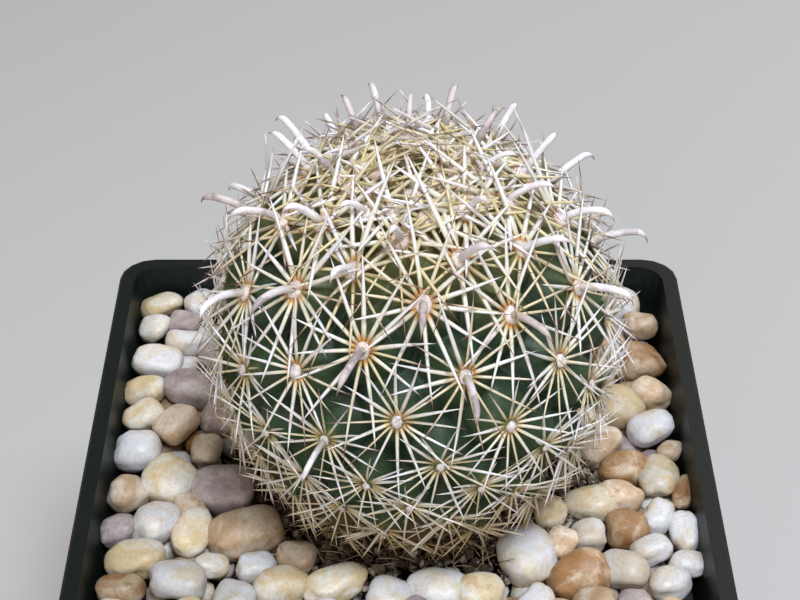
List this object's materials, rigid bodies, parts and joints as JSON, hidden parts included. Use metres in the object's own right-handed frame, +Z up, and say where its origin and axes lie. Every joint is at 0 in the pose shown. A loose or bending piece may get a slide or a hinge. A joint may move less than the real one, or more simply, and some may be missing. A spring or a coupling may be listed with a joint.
{
  "type": "potted cactus",
  "caption": "Globe-shaped cactus with star clusters of pale spines and hooked central spines, standing in a square plastic pot filled with soil and topped with river gravel.",
  "frame": {"origin": "middle of the pot's flat base, on the surface it stands on", "axes": "+Z up along the plant, -Y towards the front, +X to the right"},
  "size_m": [0.09, 0.09, 0.1401],
  "materials": {
    "pot": "black-green plastic, satin",
    "soil": "dark crumbly potting soil",
    "gravel": "smooth dry river pebbles in white, cream, tan and mauve",
    "cactus": "satin dark green skin with ivory spines"
  },
  "bodies": {
    "root": {"pot": "pot", "potting_soil": "soil", "gravel": "gravel", "cactus": "cactus"}
  },
  "joints": []
}
